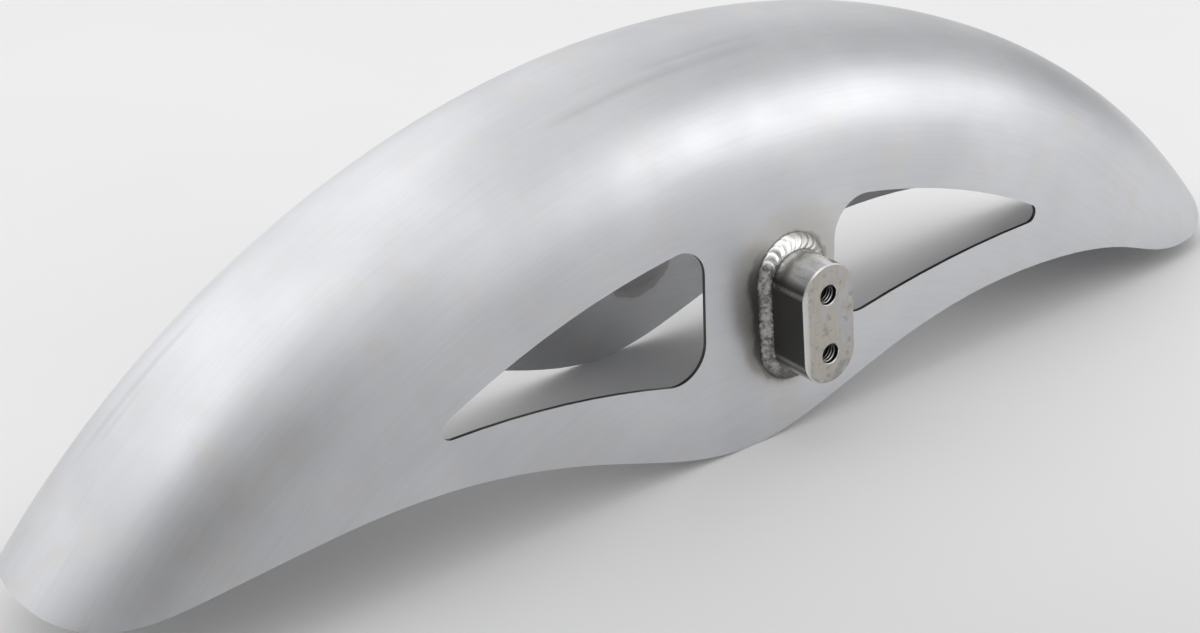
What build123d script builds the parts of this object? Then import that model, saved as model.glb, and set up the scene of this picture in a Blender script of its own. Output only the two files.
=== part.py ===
"""Front fender of a motorcycle: a rolled sheet steel shell with two welded, tapped mounting blocks.

The length runs along X with the front towards -X, Z is up, and the left side of the bike is at -Y.
The origin is under the axle, at the middle of the width, level with the lowest point of the sides.
"""
import os
from math import asin, cos, degrees, radians, sin, tan

from build123d import *

os.makedirs("parts", exist_ok=True)

# Shell, rolled round the wheel: a crown fullness of 0.55 is an ellipse, and more fills its shoulders
crown_radius = 381.0
crown_rise = 65.0
crown_fullness = 0.71
fender_width = 101.6
fender_depth = 159.2
sheet = 1.6
front_angle = 49.2
rear_angle = 50.2

# Lower edge of the sides: places along the length, and heights above its lowest point
lobe_x = -5.0
front_flank_x = -78.0
front_flank_height = 18.9
front_crest_x = -155.0
front_crest_height = 34.4
rear_flank_x = 55.0
rear_flank_height = 14.6
rear_rise_x = 104.0
rear_rise_height = 26.6
rear_crest_x = 155.0
rear_crest_height = 29.3

# Lower corners, set in from the ends of the crown
front_end_inset = 19.0
front_end_dip = 3.0
front_shoulder_inset = 48.4
front_shoulder_rise = 0.5
rear_end_inset = 30.7
rear_end_dip = 14.5
rear_shoulder_inset = 78.7
rear_shoulder_dip = 2.3
rear_corner_radius = 22.0

# Windows in the sides: ends as distances from under the axle, and height of the tip
window_drop = 63.0
window_tip_radius = 4.0
window_foot_radius = 14.0
front_window_inner = 28.6
front_window_tip = 146.6
front_window_tip_height = 6.7
front_window_sill_radius = 370.0
front_window_top_radius = 12.0
rear_window_inner = 36.5
rear_window_tip = 152.3
rear_window_tip_height = 6.6
rear_window_sill_radius = 540.0
rear_window_top_radius = 15.0

# Mounting blocks, cut from round-ended bar and leaning a little to the front
block_width = 25.4
block_height = 50.8
block_standoff = 21.6
block_x = 14.4
block_centre_height = 54.8
block_lean = 3.2
block_edge = 0.6

# Tapped holes, blind, with a drilled point at the bottom
hole_spacing = 25.4
thread_diameter = 7.9
hole_depth = 16.5
hole_mouth = 0.4
drill_point_angle = 118.0

# Weld round the foot of each block, wider at the round ends than along the flats
weld_height = 3.8
weld_side_leg = 4.2
weld_end_leg = 6.0
weld_slope = 3.2

# Sheet left beyond the finished edges until the side view trims it
trim_allowance = 20.0
trim_angle = 10.0

# Derived sizes
axle_z = fender_depth - crown_radius
half_width = fender_width / 2
wall_foot_radius = crown_radius - fender_depth - trim_allowance
trim_radius = crown_radius + trim_allowance
sweep_angle = rear_angle + trim_angle
window_arc_radius = crown_radius - window_drop
point_depth = thread_diameter / 2 / tan(radians(drill_point_angle / 2))

axle = Axis((0, 0, axle_z), (0, 1, 0))
section_plane = Plane(
    origin=(0, 0, axle_z),
    x_dir=(0, 1, 0),
    z_dir=(cos(radians(sweep_angle)), 0, sin(radians(sweep_angle))),
)
rear_plane = Plane.XZ
front_plane = Plane(origin=(0, 0, 0), x_dir=(-1, 0, 0), z_dir=(0, 1, 0))


def round_axle(radius, angle):
    """Point of the side view, at a radius from the axle and an angle from straight up."""
    return (radius * sin(radians(angle)), axle_z + radius * cos(radians(angle)))


def wall_profile(inset):
    """Section across the wheel: a full, rounded crown that runs softly into two flat sides."""
    width = half_width - inset
    rise = crown_rise - inset
    spring = crown_radius - crown_rise
    with BuildLine() as profile:
        Bezier(
            (-width, spring),
            (-width, spring + crown_fullness * rise),
            (-crown_fullness * width, spring + rise),
            (0, spring + rise),
        )
        mirror(about=Plane.YZ)
        Polyline((-width, spring), (-width, wall_foot_radius), (width, wall_foot_radius), (width, spring))
    return profile.edges()


def window_outline(plane, inner, tip, tip_height, sill_radius, top_radius):
    """Window whose top edge runs parallel to the crown, and whose sill levels out at the tip."""
    inner_angle = degrees(asin(inner / window_arc_radius))
    tip_angle = degrees(asin(tip / window_arc_radius))
    sill_tip_z = round_axle(window_arc_radius, tip_angle)[1] - tip_height
    sill_inner_z = sill_tip_z - sill_radius + (sill_radius**2 - (tip - inner) ** 2) ** 0.5
    with BuildSketch(plane) as window:
        with BuildLine():
            top = CenterArc((0, axle_z), window_arc_radius, 90 - tip_angle, tip_angle - inner_angle)
            sill = TangentArc((tip, sill_tip_z), (inner, sill_inner_z), tangent=(-1, 0))
            Line(top @ 0, sill @ 0)
            Line(top @ 1, sill @ 1)
        make_face()
        fillet(window.vertices().sort_by(Axis.X)[-2:], radius=window_tip_radius)
        fillet(window.vertices().sort_by(Axis.X)[:2].sort_by(Axis.Y)[0], radius=window_foot_radius)
        fillet(window.vertices().sort_by(Axis.X)[:2].sort_by(Axis.Y)[-1], radius=top_radius)
    return window.sketch


def block_plane(side):
    """Plane on the outside of a side wall, at the middle of its block, with the block's length as Y."""
    lean = radians(block_lean)
    return Plane(
        origin=(block_x, side * half_width, block_centre_height),
        x_dir=(-side * cos(lean), 0, -side * sin(lean)),
        z_dir=(0, side, 0),
    )


# Side view of the shell, closed well outside the crown
front_x, front_z = round_axle(crown_radius, -front_angle)
rear_x, rear_z = round_axle(crown_radius, rear_angle)
front_end = (front_x + front_end_inset, front_z - front_end_dip)
rear_end = (rear_x - rear_end_inset, rear_z - rear_end_dip)
rear_corner = round_axle((rear_end[1] - axle_z) / cos(radians(rear_angle)), rear_angle)
with BuildSketch(rear_plane) as side_view:
    with BuildLine():
        Spline(
            front_end,
            (front_x + front_shoulder_inset, front_z + front_shoulder_rise),
            (front_crest_x, front_crest_height),
            (front_flank_x, front_flank_height),
            (lobe_x, 0),
            (rear_flank_x, rear_flank_height),
            (rear_rise_x, rear_rise_height),
            (rear_crest_x, rear_crest_height),
            (rear_x - rear_shoulder_inset, rear_z - rear_shoulder_dip),
            rear_end,
            tangents=[(1, 0), (1, 0)],
        )
        Polyline(rear_end, rear_corner, round_axle(trim_radius, rear_angle))
        CenterArc((0, axle_z), trim_radius, 90 - rear_angle, rear_angle + front_angle)
        Line(round_axle(trim_radius, -front_angle), (front_x, front_z))
        TangentArc(front_end, (front_x, front_z), tangent=(-1, 0))
    make_face()
    corner = side_view.vertices().sort_by_distance(rear_corner)[0]
    fillet(corner, radius=rear_corner_radius)

front_window = window_outline(
    front_plane,
    front_window_inner,
    front_window_tip,
    front_window_tip_height,
    front_window_sill_radius,
    front_window_top_radius,
)
rear_window = window_outline(
    rear_plane,
    rear_window_inner,
    rear_window_tip,
    rear_window_tip_height,
    rear_window_sill_radius,
    rear_window_top_radius,
)

# Shell: one sheet, rolled to its section and cut to the side view
with BuildPart() as fender_shell:
    with BuildSketch(section_plane):
        make_face(wall_profile(0))
        make_face(wall_profile(sheet), mode=Mode.SUBTRACT)
    revolve(axis=axle, revolution_arc=2 * sweep_angle)
    extrude(side_view.sketch, amount=fender_width, both=True, mode=Mode.INTERSECT)
    extrude(front_window, amount=fender_width, both=True, mode=Mode.SUBTRACT)
    extrude(rear_window, amount=fender_width, both=True, mode=Mode.SUBTRACT)
fender_shell.part.label = "fender_shell"
export_step(fender_shell.part, "parts/fender_shell.step")

for name, side in (("left", -1), ("right", 1)):
    foot_plane = block_plane(side)
    outward = Axis(foot_plane.origin, foot_plane.z_dir)
    face_plane = foot_plane.offset(block_standoff)

    # Block, with two blind tapped holes through its face
    with BuildPart() as mount_block:
        with BuildSketch(foot_plane):
            SlotOverall(block_height, block_width, rotation=90)
        extrude(amount=block_standoff)
        chamfer(mount_block.faces().sort_by(outward)[-1].edges(), length=block_edge)
        with BuildSketch(face_plane):
            with GridLocations(0, hole_spacing, 1, 2):
                Circle(thread_diameter / 2)
        extrude(amount=-hole_depth, mode=Mode.SUBTRACT)
        with Locations(face_plane.offset(-hole_depth - point_depth / 2)):
            with GridLocations(0, hole_spacing, 1, 2):
                Cone(0, thread_diameter / 2, point_depth, mode=Mode.SUBTRACT)
        mouths = mount_block.faces().sort_by(outward)[-1].inner_wires()
        chamfer(mouths.edges(), length=hole_mouth)
    mount_block.part.label = f"mount_block_{name}"
    export_step(mount_block.part, f"parts/mount_block_{name}.step")

    # Weld bead: a sloped ring all round the foot of the block
    with BuildPart() as weld_bead:
        with BuildSketch(foot_plane):
            SlotOverall(block_height + 2 * weld_end_leg, block_width + 2 * weld_side_leg, rotation=90)
        extrude(amount=weld_height)
        chamfer(weld_bead.faces().sort_by(outward)[-1].edges(), length=weld_slope)
        with BuildSketch(foot_plane):
            SlotOverall(block_height, block_width, rotation=90)
        extrude(amount=weld_height, mode=Mode.SUBTRACT)
    weld_bead.part.label = f"weld_bead_{name}"
    export_step(weld_bead.part, f"parts/weld_bead_{name}.step")
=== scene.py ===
from math import cos, pi, radians, sin
from random import Random

import bpy
from mathutils import Matrix, Vector


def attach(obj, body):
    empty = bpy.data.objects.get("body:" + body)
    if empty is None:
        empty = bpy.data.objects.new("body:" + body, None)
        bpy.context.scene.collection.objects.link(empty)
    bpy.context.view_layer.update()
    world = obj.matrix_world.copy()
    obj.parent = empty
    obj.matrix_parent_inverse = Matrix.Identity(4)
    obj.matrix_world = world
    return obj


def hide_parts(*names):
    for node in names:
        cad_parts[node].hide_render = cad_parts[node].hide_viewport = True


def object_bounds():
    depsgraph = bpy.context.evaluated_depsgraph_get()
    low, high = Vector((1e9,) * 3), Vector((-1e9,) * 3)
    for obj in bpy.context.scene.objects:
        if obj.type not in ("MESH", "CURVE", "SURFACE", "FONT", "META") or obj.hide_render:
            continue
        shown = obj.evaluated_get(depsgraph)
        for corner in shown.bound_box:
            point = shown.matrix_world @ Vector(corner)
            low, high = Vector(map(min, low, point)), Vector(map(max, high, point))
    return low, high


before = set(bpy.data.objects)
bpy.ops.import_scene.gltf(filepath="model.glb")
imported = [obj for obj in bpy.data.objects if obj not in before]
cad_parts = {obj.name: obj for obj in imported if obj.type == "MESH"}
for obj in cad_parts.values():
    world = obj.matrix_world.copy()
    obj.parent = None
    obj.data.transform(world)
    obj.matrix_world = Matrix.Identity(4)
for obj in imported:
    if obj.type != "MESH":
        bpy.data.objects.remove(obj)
cad_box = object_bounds()

# Photograph's frame and lens, in its pixels, and the width of the sensor in millimetres
photo_width = 1200
photo_height = 633
focal_px = 1941.1
optical_axis_px = (574.7, 316.8)
sensor_width = 36.0

# Place of the camera: what it looks at, in metres, and from where
camera_target = Vector((-0.05325, 0, 0.05352))
camera_distance = 0.7585
camera_azimuth = radians(34.62)
camera_elevation = radians(26.12)
camera_roll = radians(-3.05)

# Shell
crown_radius = 0.381
fender_width = 0.1016

# Mounting blocks
block_width = 0.0254
block_height = 0.0508
block_standoff = 0.0216
block_x = 0.0144
block_centre_height = 0.0548
block_lean = radians(3.2)

# Tapped holes and the ridge of their thread, which swells and dies away over half a turn
hole_spacing = 0.0254
hole_radius = 0.00395
thread_crest_radius = 0.0033
thread_pitch = 0.001411
thread_crest = 0.00018
thread_start = 0.0007
thread_end = 0.0155
thread_sink = 0.0001
thread_lead = 0.5
turn_steps = 48

# Weld, in overlapping crescents of uneven size and place on a bead of slightly uneven width
weld_height = 0.0038
weld_side_leg = 0.0042
weld_end_leg = 0.006
weld_fullness = 1.6
weld_sink = 0.0002
weld_sway = 0.06
weld_waves = (3, 5, 8)
ripple_pitch = 0.0027
ripple_height = 0.00042
ripple_bow = 0.75
ripple_shift = 0.16
ripple_sizes = (0.6, 1.15)
ripple_sharpness = 0.6
ripple_middle = 0.7
ripple_toe = 0.08
ripple_fade = 0.5
ripple_steps = 10
weld_section_steps = 18

# Light of the room: azimuth from +Y towards +X and elevation in degrees, and strength
room_glows = (
    (-135, 15, 0.5),
    (-45, 15, 1.3),
    (0, 15, 1.45),
    (45, 15, 1.15),
    (90, 15, 0.5),
    (135, 0, 1.7),
    (135, 15, 1.2),
    (157, 15, 0.65),
    (-90, 50, 1.6),
    (-45, 50, 0.7),
    (0, 50, 1.35),
    (90, 50, 0.75),
    (180, 50, 1.4),
    (0, 90, 1.15),
)
glow_sharpness = 10.0
room_level = 0.02

# Faint lamp behind the part
key_place = (1.2, 1.4, 2.2)
key_width = 2.2
key_height = 1.8
key_power = 1.0

# Floor paper, faintly uneven, with painted shade that dims it from one distance in front of the middle to
# another
floor_reach = 30.0
floor_shades = (0.79, 0.81)
floor_painted_dim_shade = 0.47
floor_painted_dim_reach = (0.0, 0.5)

# Noise in the metals and the floor: scale, detail and roughness, and the middle of its range
floor_noise = (3.0, 3.0, 0.5)
cloud_noise = (13.0, 4.0, 0.5)
patch_noise = (55.0, 4.0, 0.6)
grain_noise = (900.0, 3.0, 0.5)
satin_noise = (22.0, 4.0, 0.5)
sheet_pits = (1800.0, 2.0, 0.5)
mark_noise = (60.0, 3.0, 0.5)
heat_noise = (160.0, 5.0, 0.65)
streak_noise = (700.0, 3.0, 0.5)
tint_noise = (180.0, 3.0, 0.5)
milling_noise = (900.0, 3.0, 0.5)
mottle_noise = (170.0, 5.0, 0.6)
smudge_noise = (240.0, 5.0, 0.65)
block_noise = (90.0, 3.0, 0.5)
speck_noise = (420.0, 4.0, 0.65)
bead_pits = (2500.0, 2.0, 0.5)
noise_middle = 0.5

# Where a noise starts to show and where it shows in full
even_fade = (0.3, 0.7)
soft_fade = (0.35, 0.65)
patch_fade = (0.5, 0.75)
grain_fade = (0.4, 0.7)
tint_fade = (0.35, 0.6)
mottle_fade = (0.5, 0.6)
smudge_fade = (0.56, 0.66)
speck_fade = (0.38, 0.62)

# Steel of the shell
steel_pale = (0.64, 0.647, 0.67)
steel_dull = (0.57, 0.577, 0.60)
steel_tan = (0.60, 0.575, 0.53)
steel_roughness = (0.34, 0.42)
shell_brushing = 0.5
patch_strength = 0.35
grain_strength = 0.04
grain_stretch = 0.03
grain_relief = 0.25
sheet_relief = 0.35
pit_relief = 0.12
relief_depth = 0.0001

# Cut faces of the sheet: how far their normals may lean across, how far they lie from the crown's
# middle, and how far those at the two ends face along the sheet
cut_edge = (0.10, 0.095, 0.09)
cut_lean = (0.05, 0.15)
cut_beside = (0.02, 0.03)
cut_endwise = (0.4, 0.6)

# Faint lengthwise creases, each with a painted dark reflection along it: place across, half width, first and
# last angle round the axle, strength
creases_with_painted_reflection = (
    (0.011, 0.0030, -41.5, -32.8, 0.35),
    (0.0055, 0.0022, -40.6, -37.6, 0.25),
    (-0.026, 0.0032, -11.3, 2.3, 0.35),
    (-0.0205, 0.0022, -4.7, 2.4, 0.25),
)
mark_fade = 0.012
mark_waver = 0.0012
painted_reflection_darkness = 0.35
mark_dulling = 0.5
mark_roughness = 0.55
mark_relief = -1.5

# Heat and soot round the welds, whose brown and soot also paint shade below and in front of the block: how
# far each reaches out from the block, over what width it fades, and how much of the metal's colour it
# covers; a thin dark line follows the toe of the weld
soot_and_shade = (0.15, 0.145, 0.14)
heat_brown_and_shade = (0.38, 0.365, 0.345)
heat_tan = (0.44, 0.40, 0.34)
soot_and_shade_reach = 0.0090
brown_reach = 0.0140
tan_reach = 0.020
soot_and_shade_edge = 0.0032
brown_edge = 0.0048
soot_and_shade_cover = 0.9
brown_cover = 0.8
tan_cover = 0.5
sooty_roughness = 0.6
toe_width = 0.0009
toe_cover = 0.4
heat_waver = 0.004

# The heat marks keep to the side walls, draw in at the foot of the block, spread a little beside its
# head, are weak on the inside, and are sooty at the front and below, where their brown and soot also paint
# shade
wall_fade = (0.006, 0.003)
heat_low = (-0.030, -0.012)
heat_lift = 0.0045
heat_high = (0.006, 0.016)
heat_spread = 0.002
wall_turn = 0.01
inside_share = 0.25
soot_and_shade_lean = (0.8, 0.45)
soot_and_shade_fade = (-0.009, 0.007)

# Steel of the blocks
face_tan = (0.50, 0.465, 0.41)
face_blue = (0.485, 0.49, 0.515)
face_smudge = (0.31, 0.315, 0.33)
barrel_bright = (0.78, 0.78, 0.77)
barrel_dark = (0.13, 0.125, 0.12)
painted_reflection_strip = (0.36, 0.355, 0.345)
mill_scale = (0.10, 0.097, 0.093)
hole_shade_colour = (0.05, 0.048, 0.045)
block_roughness = (0.24, 0.34)
face_roughness = 0.42
scale_roughness = 0.6
block_relief = 0.3

# Round head and foot of a block, streaked outwards from the wall, and its flats: how far a normal points
# sideways lays out a painted reflection of a bright head, its dark edge and a paler strip, and tells the
# scale apart
streak_stretch = 0.12
streak_strength = 0.3
tint_place = 0.0085
tint_width = 0.004
# Painted shade on the head next to the weld
weld_shade = 0.6
weld_shade_reach = 0.0025
dark_from = (0.80, 0.94)
strip_place = 0.974
strip_width = 0.03
scale_from = (0.988, 0.997)

# Milled face of a block
face_turn = (0.9, 0.98)
milling_stretch = 0.15
milling_strength = 0.2
mottle_strength = 0.8
mottle_lean = 6.0
smudge_strength = 0.75
smudge_low = (-0.024, -0.013)
smudge_gain = 0.19
# Painted highlight along one edge of the face
rim_place = (0.003, 0.0015)
rim_strength = 0.5
# Painted highlight on the chamfer round the face
chamfer_width = 0.0009
chamfer_turn = (0.2, 0.6)

# Inside of the holes, painted shade, but for painted highlights on the crests of the thread low down near
# the mouth
hole_edge = (0.00005, 0.00015)
crest_edge = (0.0001, 0.0002)
mouth_depth = (0.006, 0.003)
crest_low = (-0.0025, 0.0)
crest_rest = 0.2

# Weld metal
# The bright colour is a painted highlight on the head of the weld
bead_bright = (0.90, 0.90, 0.89)
bead_grey = (0.52, 0.515, 0.51)
bead_tan = (0.34, 0.328, 0.305)
bead_roughness = (0.5, 0.2)
bead_relief = 0.3
smooth_highlit_from = (0.0170, 0.0220)
smooth_highlit_lean = 0.35
smooth_highlit_waver = 0.008
speck_floor = 0.1
# Painted shade darkening the lower part of the bead
bead_low = (-0.030, -0.016)
bead_low_cover = 0.85
tan_from = (-0.003, 0.006)
bead_tan_cover = 0.9
bead_edges = (0.0008, 0.0006)
bead_edge_cover = 0.8

# Derived places
axle_z = cad_box[1][2] - crown_radius
half_width = fender_width / 2
block_radius = block_width / 2
block_straight = (block_height - block_width) / 2


def place_camera():
    """Camera of the photograph, turned about its target and rolled."""
    data = bpy.data.cameras.new("camera")
    data.sensor_width = sensor_width
    data.lens = focal_px / photo_width * sensor_width
    data.shift_x = (photo_width / 2 - optical_axis_px[0]) / photo_width
    data.shift_y = (optical_axis_px[1] - photo_height / 2) / photo_width
    camera = bpy.data.objects.new("camera", data)
    away = Vector((
        -sin(camera_azimuth) * cos(camera_elevation),
        -cos(camera_azimuth) * cos(camera_elevation),
        sin(camera_elevation),
    ))
    camera.matrix_world = (
        Matrix.Translation(camera_target + away * camera_distance)
        @ Matrix.Rotation(-camera_azimuth, 4, "Z")
        @ Matrix.Rotation(pi / 2 - camera_elevation, 4, "X")
        @ Matrix.Rotation(camera_roll, 4, "Z")
    )
    bpy.context.scene.collection.objects.link(camera)
    bpy.context.scene.camera = camera


class Nodes:
    """Short hand for building a node tree."""

    # Places of a Mix node's colour sockets
    mix_inputs = (6, 7)
    mix_output = 2

    def __init__(self, tree):
        self.tree = tree
        tree.nodes.clear()

    def add(self, kind, **settings):
        node = self.tree.nodes.new(kind)
        for name, value in settings.items():
            setattr(node, name, value)
        return node

    def wire(self, value, socket):
        """Connects an output to a socket, or sets the socket to a constant."""
        if isinstance(value, bpy.types.NodeSocket):
            self.tree.links.new(value, socket)
        else:
            socket.default_value = value

    def math(self, operation, *values):
        node = self.add("ShaderNodeMath", operation=operation)
        for value, socket in zip(values, node.inputs):
            self.wire(value, socket)
        return node.outputs[0]

    def vector(self, operation, *values):
        node = self.add("ShaderNodeVectorMath", operation=operation)
        for value, socket in zip(values, node.inputs):
            self.wire(value, socket)
        return node.outputs["Value" if operation in ("DOT_PRODUCT", "LENGTH") else "Vector"]

    def separate(self, vector):
        node = self.add("ShaderNodeSeparateXYZ")
        self.wire(vector, node.inputs[0])
        return node.outputs

    def combine(self, x, y, z):
        node = self.add("ShaderNodeCombineXYZ")
        for value, socket in zip((x, y, z), node.inputs):
            self.wire(value, socket)
        return node.outputs[0]

    def place(self):
        return self.add("ShaderNodeTexCoord").outputs["Object"]

    def normal(self):
        return self.add("ShaderNodeNewGeometry").outputs["Normal"]

    def noise(self, place, scale, detail, roughness):
        node = self.add("ShaderNodeTexNoise")
        self.wire(place, node.inputs["Vector"])
        node.inputs["Scale"].default_value = scale
        node.inputs["Detail"].default_value = detail
        node.inputs["Roughness"].default_value = roughness
        return node.outputs["Fac"]

    def scaled(self, value, *factors):
        """Product of a value and one or more factors."""
        for factor in factors:
            value = self.math("MULTIPLY", value, factor)
        return value

    def span(self, value, low, high, to_low=0.0, to_high=1.0):
        """Maps low..high softly to to_low..to_high, held at both ends."""
        node = self.add("ShaderNodeMapRange", interpolation_type="SMOOTHSTEP")
        self.wire(value, node.inputs["Value"])
        for name, number in (("From Min", low), ("From Max", high), ("To Min", to_low), ("To Max", to_high)):
            self.wire(number, node.inputs[name])
        return node.outputs["Result"]

    def band(self, value, centre, half_width):
        """One at the centre, fading to nothing half a width to either side."""
        off = self.math("ABSOLUTE", self.math("SUBTRACT", value, centre))
        return self.span(off, 0.0, half_width, 1.0, 0.0)

    def waver(self, noise, size):
        """Noise about nothing, in metres."""
        return self.scaled(self.math("SUBTRACT", noise, noise_middle), size)

    def mix(self, share, first, second):
        """Number between two others."""
        return self.math("MULTIPLY_ADD", self.math("SUBTRACT", second, first), share, first)

    def blend(self, share, first, second):
        """Colour between two others."""
        node = self.add("ShaderNodeMix", data_type="RGBA")
        self.wire(share, node.inputs[0])
        for value, place in zip((first, second), self.mix_inputs):
            colour = value if isinstance(value, bpy.types.NodeSocket) else (*value, 1.0)
            self.wire(colour, node.inputs[place])
        return node.outputs[self.mix_output]

    def bump(self, height, strength, normal=None):
        node = self.add("ShaderNodeBump")
        node.inputs["Strength"].default_value = strength
        node.inputs["Distance"].default_value = relief_depth
        self.wire(height, node.inputs["Height"])
        if normal is not None:
            self.wire(normal, node.inputs["Normal"])
        return node.outputs[0]


def light_world():
    """Soft light of a studio: glows low and high round the part, and one overhead."""
    world = bpy.data.worlds.new("studio")
    bpy.context.scene.world = world
    world.use_nodes = True
    n = Nodes(world.node_tree)
    direction = n.add("ShaderNodeTexCoord").outputs["Generated"]
    level = room_level
    for azimuth, elevation, strength in room_glows:
        across = cos(radians(elevation))
        toward = (across * sin(radians(azimuth)), across * cos(radians(azimuth)), sin(radians(elevation)))
        facing = n.math("MAXIMUM", n.vector("DOT_PRODUCT", direction, toward), 0.0)
        level = n.math("MULTIPLY_ADD", n.math("POWER", facing, glow_sharpness), strength, level)
    background = n.add("ShaderNodeBackground")
    n.wire(level, background.inputs["Strength"])
    output = n.add("ShaderNodeOutputWorld")
    n.wire(background.outputs[0], output.inputs["Surface"])


def light_key():
    """Large, faint lamp behind and above the part."""
    data = bpy.data.lights.new("key", "AREA")
    data.shape = "RECTANGLE"
    data.size = key_width
    data.size_y = key_height
    data.energy = key_power
    lamp = bpy.data.objects.new("key", data)
    lamp.location = key_place
    lamp.rotation_euler = (-Vector(key_place)).to_track_quat("-Z", "Y").to_euler()
    bpy.context.scene.collection.objects.link(lamp)


def new_material(name):
    material = bpy.data.materials.new(name)
    material.use_nodes = True
    return material, Nodes(material.node_tree)


def floor_material():
    """Plain pale paper, with painted shade that makes it dimmer towards the camera's side."""
    material, n = new_material("floor_paper")
    place = n.place()
    x, y, _ = n.separate(place)
    shade = n.span(n.noise(place, *floor_noise), *even_fade, *floor_shades)
    in_front = n.math("ADD", n.scaled(x, -sin(camera_azimuth)), n.scaled(y, -cos(camera_azimuth)))
    # Painted shade: the paper darkens towards the camera's side
    shade = n.mix(n.span(in_front, *floor_painted_dim_reach), shade, floor_painted_dim_shade)
    paper = n.add("ShaderNodeBsdfDiffuse")
    n.wire(n.combine(shade, shade, shade), paper.inputs["Color"])
    output = n.add("ShaderNodeOutputMaterial")
    n.wire(paper.outputs[0], output.inputs["Surface"])
    return material


def lay_floor():
    mesh = bpy.data.meshes.new("floor")
    corners = [(x * floor_reach, y * floor_reach, 0) for x, y in ((-1, -1), (1, -1), (1, 1), (-1, 1))]
    mesh.from_pydata(corners, [], [(0, 1, 2, 3)])
    obj = bpy.data.objects.new("floor", mesh)
    mesh.materials.append(floor_material())
    bpy.context.scene.collection.objects.link(obj)


def steel(n, colour, roughness, bump_normal, brushing=0.0, grain=None):
    """Bare metal surface; where it is brushed, the shine spreads square to the grain."""
    shader = n.add("ShaderNodeBsdfPrincipled")
    shader.inputs["Metallic"].default_value = 1.0
    shader.inputs["Anisotropic"].default_value = brushing
    if grain is not None:
        n.wire(n.vector("CROSS_PRODUCT", n.normal(), grain), shader.inputs["Tangent"])
    n.wire(colour, shader.inputs["Base Color"])
    n.wire(roughness, shader.inputs["Roughness"])
    n.wire(bump_normal, shader.inputs["Normal"])
    output = n.add("ShaderNodeOutputMaterial")
    n.wire(shader.outputs[0], output.inputs["Surface"])


def block_coordinates(n):
    """Distances across and along a mounting block, from its middle, in the plane of the side wall."""
    x, _, z = n.separate(n.place())
    dx = n.math("SUBTRACT", x, block_x)
    dz = n.math("SUBTRACT", z, block_centre_height)
    across = n.math("ADD", n.scaled(dx, cos(block_lean)), n.scaled(dz, sin(block_lean)))
    along = n.math("SUBTRACT", n.scaled(dz, cos(block_lean)), n.scaled(dx, sin(block_lean)))
    return across, along


def from_outline(n, across, along):
    """Distance out from the round-ended outline of a block."""
    past = n.math("MAXIMUM", n.math("SUBTRACT", n.math("ABSOLUTE", along), block_straight), 0.0)
    return n.math("SUBTRACT", n.vector("LENGTH", n.combine(across, past, 0.0)), block_radius)


def crease_and_painted_reflection(n, around, y):
    """How strongly a place on the shell carries one of the faint lengthwise creases and its painted dark
    reflection.
    """
    mark = 0.0
    for line, mark_width, first, last, strength in creases_with_painted_reflection:
        start = radians(first) * crown_radius
        end = radians(last) * crown_radius
        fade_in = n.span(around, start - mark_fade, start + mark_fade)
        fade_out = n.span(around, end - mark_fade, end + mark_fade, 1.0, 0.0)
        reach = n.scaled(fade_in, fade_out, strength)
        mark = n.math("MAXIMUM", n.scaled(n.band(y, line, mark_width), reach), mark)
    return mark


def cut_faces(n, y, lengthwise):
    """One on the faces where the sheet was cut, whose normals have no part across the wheel."""
    normal = n.normal()
    level = n.span(n.math("ABSOLUTE", n.separate(normal)[1]), *cut_lean, 1.0, 0.0)
    beside_crown = n.span(n.math("ABSOLUTE", y), *cut_beside)
    endwise = n.math("ABSOLUTE", n.vector("DOT_PRODUCT", normal, n.vector("NORMALIZE", lengthwise)))
    return n.math("MAXIMUM", n.scaled(level, beside_crown), n.span(endwise, *cut_endwise))


def heat_marks_and_shade(n, place, y):
    """Shares of tan, of brown and soot that also paint shade below and in front of the block, and of the
    thin dark outline of the weld at a place on the shell.
    """
    across, along = block_coordinates(n)
    on_wall_side = n.span(n.math("ABSOLUTE", y), *(half_width - inset for inset in wall_fade))
    outside = n.span(n.scaled(n.separate(n.normal())[1], y), -wall_turn, wall_turn, inside_share, 1.0)
    ragged = n.waver(n.noise(place, *heat_noise), heat_waver)
    from_block = n.math("ADD", from_outline(n, across, along), ragged)
    away = n.math("ADD", from_block, n.span(along, *heat_low, heat_lift, 0.0))
    away = n.math("SUBTRACT", away, n.span(along, *heat_high, 0.0, heat_spread))
    lean_down = n.math("ADD", n.scaled(across, soot_and_shade_lean[0]), n.scaled(along, soot_and_shade_lean[1]))
    soot_and_shade_side = n.scaled(n.span(lean_down, *soot_and_shade_fade, 1.0, 0.0), on_wall_side, outside)
    tan_share = n.scaled(n.span(away, weld_side_leg, tan_reach, tan_cover, 0.0), on_wall_side, outside)
    brown_and_shade_share = n.scaled(n.span(away, brown_reach - brown_edge, brown_reach, brown_cover, 0.0), soot_and_shade_side)
    soot_and_shade_share = n.scaled(n.span(away, soot_and_shade_reach - soot_and_shade_edge, soot_and_shade_reach, soot_and_shade_cover, 0.0), soot_and_shade_side)
    toe = n.span(from_block, weld_end_leg, weld_end_leg + toe_width, toe_cover, 0.0)
    return tan_share, brown_and_shade_share, soot_and_shade_share, n.scaled(toe, on_wall_side)


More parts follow.
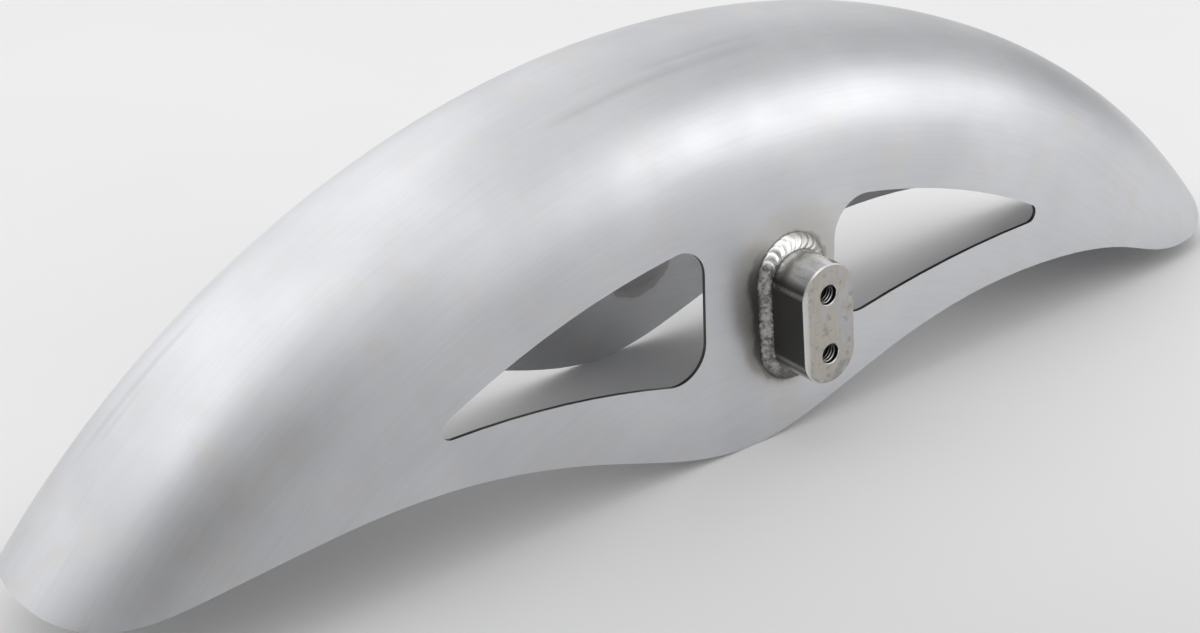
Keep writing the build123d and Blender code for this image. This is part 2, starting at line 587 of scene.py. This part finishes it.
def shell_material():
    """Satin sheet steel with cloudy patches, fine grain, faint creases with painted dark reflections, dark
    cut edges, and heat marks whose brown and soot also paint shade.
    """
    material, n = new_material("shell_steel")
    place = n.place()
    x, y, z = n.separate(place)
    height = n.math("SUBTRACT", z, axle_z)
    around = n.scaled(n.math("ARCTAN2", x, height), crown_radius)
    out = n.vector("LENGTH", n.combine(x, 0.0, height))
    lengthwise = n.combine(height, 0.0, n.scaled(x, -1.0))
    grain = n.noise(n.combine(n.scaled(around, grain_stretch), y, out), *grain_noise)

    colour = n.blend(n.span(n.noise(place, *cloud_noise), *soft_fade), steel_dull, steel_pale)
    patches = n.span(n.noise(place, *patch_noise), *patch_fade, 0.0, patch_strength)
    colour = n.blend(patches, colour, steel_tan)
    colour = n.blend(n.span(grain, *grain_fade, 0.0, grain_strength), colour, barrel_dark)
    mark = crease_and_painted_reflection(n, around, n.math("ADD", y, n.waver(n.noise(place, *mark_noise), mark_waver)))
    # Painted reflection: the colour darkens along each crease
    colour = n.blend(n.scaled(mark, painted_reflection_darkness), colour, barrel_dark)
    tan_share, brown_and_shade_share, soot_and_shade_share, toe = heat_marks_and_shade(n, place, y)
    colour = n.blend(tan_share, colour, heat_tan)
    # Brown and soot: heat marks that also paint shade below and in front of the block
    colour = n.blend(brown_and_shade_share, colour, heat_brown_and_shade)
    colour = n.blend(soot_and_shade_share, colour, soot_and_shade)
    colour = n.blend(toe, colour, soot_and_shade)
    colour = n.blend(cut_faces(n, y, lengthwise), colour, cut_edge)

    roughness = n.span(n.noise(place, *satin_noise), *even_fade, *steel_roughness)
    roughness = n.mix(n.scaled(mark, mark_dulling), roughness, mark_roughness)
    roughness = n.mix(brown_and_shade_share, roughness, sooty_roughness)
    relief = n.math("ADD", n.scaled(grain, grain_relief), n.scaled(mark, mark_relief))
    normal = n.bump(n.noise(place, *sheet_pits), pit_relief, n.bump(relief, sheet_relief))
    steel(n, colour, roughness, normal, shell_brushing, lengthwise)
    return material


def barrel_colour(n, place, out, sideways, streaks):
    """Round head and foot of a block and its flats: bright, then dark, a paler strip, all a painted
    reflection, with painted shade by the weld, then black scale.
    """
    colour = n.blend(n.span(streaks, *soft_fade, 0.0, streak_strength), barrel_bright, barrel_dark)
    tinted = n.span(n.noise(place, *tint_noise), *tint_fade)
    colour = n.blend(n.scaled(n.band(out, tint_place, tint_width), tinted), colour, bead_tan)
    # Painted shade where the head meets the weld
    painted_shade_near_weld = n.span(out, weld_height, weld_height + weld_shade_reach, weld_shade, 0.0)
    colour = n.blend(painted_shade_near_weld, colour, barrel_dark)
    # Painted reflection: dark edge and paler strip, by how far the normal points sideways
    colour = n.blend(n.span(sideways, *dark_from), colour, barrel_dark)
    colour = n.blend(n.band(sideways, strip_place, strip_width), colour, painted_reflection_strip)
    return n.blend(n.span(sideways, *scale_from), colour, mill_scale)


def face_colour(n, place, across, along, milling):
    """Milled face of a block: tan with blue-grey mottling, smudged low down, with a painted highlight along
    one edge.
    """
    mottle = n.math("ADD", n.noise(place, *mottle_noise), n.scaled(across, mottle_lean))
    colour = n.blend(n.span(mottle, *mottle_fade, 0.0, mottle_strength), face_tan, face_blue)
    low = n.span(along, *smudge_low, smudge_gain, 0.0)
    smudge = n.math("ADD", n.noise(place, *smudge_noise), low)
    colour = n.blend(n.span(smudge, *smudge_fade, 0.0, smudge_strength), colour, face_smudge)
    colour = n.blend(n.span(milling, *soft_fade, 0.0, milling_strength), colour, face_smudge)
    painted_rim_highlight = n.span(across, *(inset - block_radius for inset in rim_place))
    return n.blend(n.scaled(painted_rim_highlight, rim_strength), colour, barrel_bright)


def hole_shares(n, across, along, out):
    """Shares of painted shade and of painted highlights on the thread crests in the tapped holes."""
    up = n.math("SUBTRACT", n.math("ABSOLUTE", along), hole_spacing / 2)
    from_hole = n.vector("LENGTH", n.combine(across, up, 0.0))
    painted_hole_shade = n.span(from_hole, *(hole_radius + past for past in hole_edge), 1.0, 0.0)
    crest = n.span(from_hole, thread_crest_radius + crest_edge[0], hole_radius - crest_edge[1], 1.0, 0.0)
    near_mouth = n.span(out, *(block_standoff - depth for depth in mouth_depth))
    low_side = n.span(n.scaled(n.math("SIGN", along), up), *crest_low, 1.0, crest_rest)
    return painted_hole_shade, n.scaled(crest, near_mouth, low_side)


def block_material():
    """Machined bar: a tan milled face, a round head and foot whose shine is a painted reflection, and flats
    still under black scale.
    """
    material, n = new_material("block_steel")
    place = n.place()
    across, along = block_coordinates(n)
    y = n.separate(place)[1]
    out = n.math("SUBTRACT", n.math("ABSOLUTE", y), half_width)
    normal = n.normal()
    sideways = n.math("ABSOLUTE", n.vector("DOT_PRODUCT", normal, (cos(block_lean), 0.0, sin(block_lean))))
    facing = n.span(n.math("ABSOLUTE", n.separate(normal)[1]), *face_turn)
    streaks = n.noise(n.combine(across, n.scaled(out, streak_stretch), along), *streak_noise)
    milling = n.noise(n.combine(across, y, n.scaled(along, milling_stretch)), *milling_noise)

    barrel = barrel_colour(n, place, out, sideways, streaks)
    colour = n.blend(facing, barrel, face_colour(n, place, across, along, milling))
    # Painted highlight on the chamfer round the face
    painted_chamfer_highlight = n.scaled(n.band(out, block_standoff, chamfer_width), n.span(facing, *chamfer_turn, 1.0, 0.0))
    colour = n.blend(painted_chamfer_highlight, colour, barrel_bright)
    painted_hole_shade, crest = hole_shares(n, across, along, out)
    # Painted shade inside the holes and painted highlights on the thread crests
    colour = n.blend(painted_hole_shade, colour, hole_shade_colour)
    colour = n.blend(crest, colour, barrel_bright)

    roughness = n.span(n.noise(place, *block_noise), *even_fade, *block_roughness)
    roughness = n.mix(facing, roughness, face_roughness)
    roughness = n.mix(n.span(sideways, *scale_from), roughness, scale_roughness)
    steel(n, colour, roughness, n.bump(n.mix(facing, streaks, milling), block_relief))
    return material


def weld_material():
    """Weld metal: smoother and brightened by a painted highlight at the head of the block, fading to tan,
    and grey with dark specks below, darkened by painted shade lower down.
    """
    material, n = new_material("weld_metal")
    place = n.place()
    across, along = block_coordinates(n)
    out = n.math("SUBTRACT", n.math("ABSOLUTE", n.separate(place)[1]), half_width)
    away = from_outline(n, across, along)
    specks = n.noise(place, *speck_noise)
    height = n.math("ADD", n.math("ADD", along, n.waver(specks, smooth_highlit_waver)), n.scaled(across, smooth_highlit_lean))
    # Painted highlight: the head of the bead is brighter, and smoother
    smooth_highlit_top = n.span(height, *smooth_highlit_from)

    grey = n.blend(n.span(specks, *speck_fade, speck_floor, 1.0), soot_and_shade, bead_grey)
    # Painted shade: darker at the lower part of the bead
    grey = n.blend(n.span(along, *bead_low, bead_low_cover, 0.0), grey, soot_and_shade)
    bright = n.blend(n.span(across, *tan_from, 0.0, bead_tan_cover), bead_bright, bead_tan)
    colour = n.blend(smooth_highlit_top, grey, bright)
    on_wall_edge = n.span(out, 0.0, bead_edges[0], 1.0, 0.0)
    on_block_edge = n.span(away, 0.0, bead_edges[1], 1.0, 0.0)
    edge = n.math("MAXIMUM", on_wall_edge, on_block_edge)
    colour = n.blend(n.scaled(edge, bead_edge_cover), colour, soot_and_shade)
    steel(n, colour, n.mix(smooth_highlit_top, *bead_roughness), n.bump(n.noise(place, *bead_pits), bead_relief))
    return material


def new_piece(name, vertices, faces, material):
    """Mesh piece that rides with the part and takes the material it is given."""
    mesh = bpy.data.meshes.new(name)
    mesh.from_pydata(vertices, [], faces)
    mesh.materials.append(material)
    mesh.shade_smooth()
    mesh.validate()
    obj = bpy.data.objects.new(name, mesh)
    bpy.context.scene.collection.objects.link(obj)
    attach(obj, "root")
    return obj


def on_wall(side, across, along, out):
    """Point given in a block's own directions, from the middle of its foot on the outside of a wall."""
    x = block_x + across * cos(block_lean) - along * sin(block_lean)
    z = block_centre_height + across * sin(block_lean) + along * cos(block_lean)
    return (x, side * (half_width + out), z)


def block_outline(distance):
    """Point and outward direction on the round-ended outline of a block, at a distance along it."""
    straight = 2 * block_straight
    arc = pi * block_radius
    distance = distance % (2 * (straight + arc))
    half = 1 if distance < straight + arc else -1
    distance = distance % (straight + arc)
    if distance < straight:
        return half * block_radius, half * (distance - block_straight), half, 0.0
    turn = (distance - straight) / block_radius
    across = half * cos(turn)
    along = half * sin(turn)
    return across * block_radius, half * block_straight + along * block_radius, across, along


def ring_faces(rings, ring_size, closed):
    """Quads between rings of points; an open run of rings is capped at both ends."""
    faces = []
    for ring in range(rings if closed else rings - 1):
        for step in range(ring_size):
            here = ring * ring_size
            there = (ring + 1) % rings * ring_size
            beside = (step + 1) % ring_size
            faces.append((here + step, here + beside, there + beside, there + step))
    if not closed:
        faces.append(tuple(range(ring_size))[::-1])
        faces.append(tuple((rings - 1) * ring_size + step for step in range(ring_size)))
    return faces


def weld_bead(side, name, draw):
    """Bead laid round the foot of a block in overlapping crescents, a little sunk into both."""
    length = 4 * block_straight + 2 * pi * block_radius
    ripples = round(length / ripple_pitch)
    shifts = [draw.uniform(-ripple_shift, ripple_shift) for ripple in range(ripples)]
    sizes = [draw.uniform(*ripple_sizes) for ripple in range(ripples)]
    waves = [(draw.uniform(0.0, 2 * pi), turns) for turns in weld_waves]
    rings = ripples * ripple_steps
    vertices = []
    for ring in range(rings):
        across, along, out_across, out_along = block_outline(ring / rings * length)
        leg = weld_side_leg + (weld_end_leg - weld_side_leg) * abs(out_along)
        sway = sum(sin(2 * pi * turns * ring / rings + phase) for phase, turns in waves) / len(waves)
        grow = 1 + weld_sway * sway
        for step in range(weld_section_steps):
            share = step / (weld_section_steps - 1)
            place = ring / ripple_steps + ripple_bow * (1 - (2 * share - 1) ** 2)
            ripple = int(place) % ripples
            within = place - int(place)
            within += shifts[ripple] * sin(pi * within)
            crest = max(0.0, sin(pi * within)) ** ripple_sharpness * sizes[ripple]
            fade = sin(pi * (ripple_toe + (1 - 2 * ripple_toe) * share)) ** ripple_fade
            lift = (crest - ripple_middle) * ripple_height * fade
            turn = pi / 2 * share
            run = leg * grow * cos(turn) ** (2 / weld_fullness) + lift * cos(turn)
            rise = weld_height * grow * sin(turn) ** (2 / weld_fullness) + lift * sin(turn)
            vertices.append(on_wall(side, across + out_across * run, along + out_along * run, rise))
        for run, rise in ((-weld_sink, weld_height), (-weld_sink, -weld_sink), (leg, -weld_sink)):
            vertices.append(on_wall(side, across + out_across * run, along + out_along * run, rise))
    faces = ring_faces(rings, len(vertices) // rings, closed=True)
    if side > 0:
        faces = [face[::-1] for face in faces]
    piece = new_piece(f"weld_ripples_{name}", vertices, faces, weld_metal)
    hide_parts(f"weld_bead_{name}")


def hole_thread(side, name, place, along):
    """Ridge that winds down the wall of a tapped hole."""
    turns = (thread_end - thread_start) / thread_pitch
    rings = round(turns * turn_steps)
    half_root = (thread_pitch - thread_crest) / 2
    vertices = []
    for ring in range(rings + 1):
        turn = 2 * pi * ring / turn_steps
        depth = thread_start + thread_pitch * ring / turn_steps
        lead = min(1.0, min(ring, rings - ring) / turn_steps / thread_lead)
        crest_radius = hole_radius - (hole_radius - thread_crest_radius) * lead
        for radius, shift in (
            (hole_radius + thread_sink, -half_root),
            (crest_radius, -thread_crest / 2),
            (crest_radius, thread_crest / 2),
            (hole_radius + thread_sink, half_root),
        ):
            down = block_standoff - depth - shift
            vertices.append(on_wall(side, radius * cos(turn), along + radius * sin(turn), down))
    faces = ring_faces(rings + 1, len(vertices) // (rings + 1), closed=False)
    if side < 0:
        faces = [face[::-1] for face in faces]
    new_piece(f"thread_{name}_{place}", vertices, faces, block_steel)


def dress(node, material):
    """Gives every slot of a CAD node the same material."""
    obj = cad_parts[node]
    for slot in obj.material_slots:
        slot.material = material
    if not obj.material_slots:
        obj.data.materials.append(material)


place_camera()
light_world()
light_key()
lay_floor()

shell_steel = shell_material()
block_steel = block_material()
weld_metal = weld_material()
dress("fender_shell", shell_steel)
for side_name, side_sign in (("left", -1), ("right", 1)):
    dress(f"mount_block_{side_name}", block_steel)
    weld_bead(side_sign, side_name, Random(side_name))
    hole_thread(side_sign, side_name, "upper", hole_spacing / 2)
    hole_thread(side_sign, side_name, "lower", -hole_spacing / 2)

bpy.context.scene.view_settings.view_transform = "Standard"
